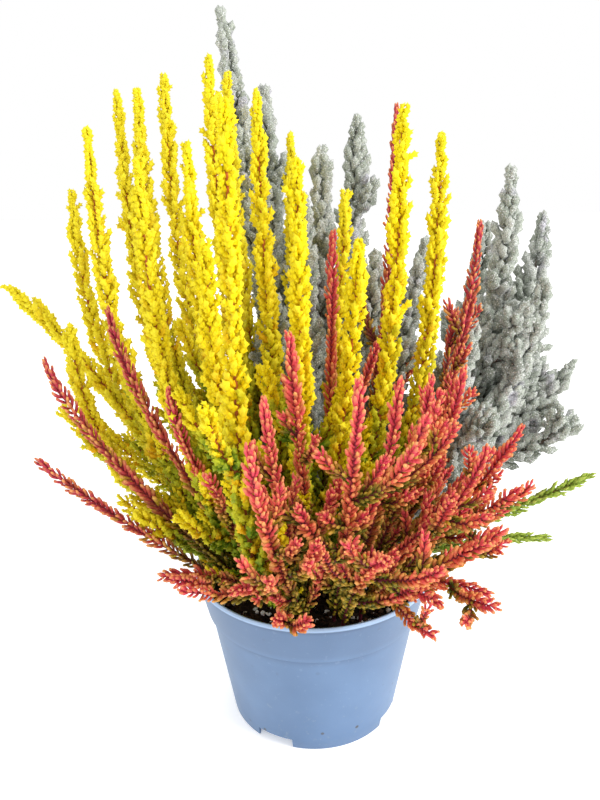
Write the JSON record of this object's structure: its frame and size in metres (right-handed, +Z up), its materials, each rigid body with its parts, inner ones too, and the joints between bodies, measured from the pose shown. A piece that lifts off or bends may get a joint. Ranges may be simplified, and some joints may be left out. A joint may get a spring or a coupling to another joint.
{
  "type": "potted heather",
  "caption": "Foliage heather in a round nursery pot: upright yellow and silver leafy spikes behind low arching red sprays, standing in peat soil",
  "frame": {"origin": "on the surface that the pot stands on, at the middle of the flat boss under its base", "axes": "+Z up along the pot's axis, +X to the right and +Y to the back as the picture shows the plant"},
  "size_m": [0.2872, 0.21, 0.342],
  "materials": {
    "pot": "satin",
    "soil": "matte",
    "yellow_foliage": "matte",
    "silver_foliage": "matte",
    "red_foliage": "matte",
    "green_foliage": "matte"
  },
  "bodies": {
    "root": {"pot": "pot", "soil": "soil", "yellow_spike_01": "yellow_foliage", "yellow_spike_02": "yellow_foliage", "yellow_spike_03": "yellow_foliage", "yellow_spike_04": "yellow_foliage", "yellow_spike_05": "yellow_foliage", "yellow_spike_06": "yellow_foliage", "yellow_spike_07": "yellow_foliage", "yellow_spike_08": "yellow_foliage", "yellow_spike_09": "yellow_foliage", "yellow_spike_10": "yellow_foliage", "yellow_spike_11": "yellow_foliage", "yellow_spike_12": "yellow_foliage", "yellow_spike_13": "yellow_foliage", "yellow_spike_14": "yellow_foliage", "yellow_spike_15": "yellow_foliage", "yellow_spike_16": "yellow_foliage", "yellow_spike_17": "yellow_foliage", "yellow_spike_18": "yellow_foliage", "yellow_spike_19": "yellow_foliage", "yellow_spike_20": "yellow_foliage", "yellow_spike_21": "yellow_foliage", "silver_spike_01": "silver_foliage", "silver_spike_02": "silver_foliage", "silver_spike_03": "silver_foliage", "silver_spike_04": "silver_foliage", "silver_spike_05": "silver_foliage", "silver_spike_06": "silver_foliage", "silver_spike_07": "silver_foliage", "silver_spike_08": "silver_foliage", "silver_spike_09": "silver_foliage", "silver_spike_10": "silver_foliage", "silver_spike_11": "silver_foliage", "silver_spike_12": "silver_foliage", "silver_spike_13": "silver_foliage", "silver_spike_14": "silver_foliage", "red_spray_01": "red_foliage", "red_spray_02": "red_foliage", "red_spray_03": "red_foliage", "red_spray_04": "red_foliage", "red_spray_05": "red_foliage", "red_spray_06": "red_foliage", "red_spray_07": "red_foliage", "red_spray_08": "red_foliage", "red_spray_09": "red_foliage", "red_spray_10": "red_foliage", "red_spray_11": "red_foliage", "red_spray_12": "red_foliage", "red_spray_13": "red_foliage", "red_spray_14": "red_foliage", "red_spray_15": "red_foliage", "red_spray_16": "red_foliage", "red_spray_17": "red_foliage", "red_spray_18": "red_foliage", "red_spray_19": "red_foliage", "red_spray_20": "red_foliage", "red_spray_21": "red_foliage", "green_sprig_01": "green_foliage", "green_sprig_02": "green_foliage"}
  },
  "joints": []
}
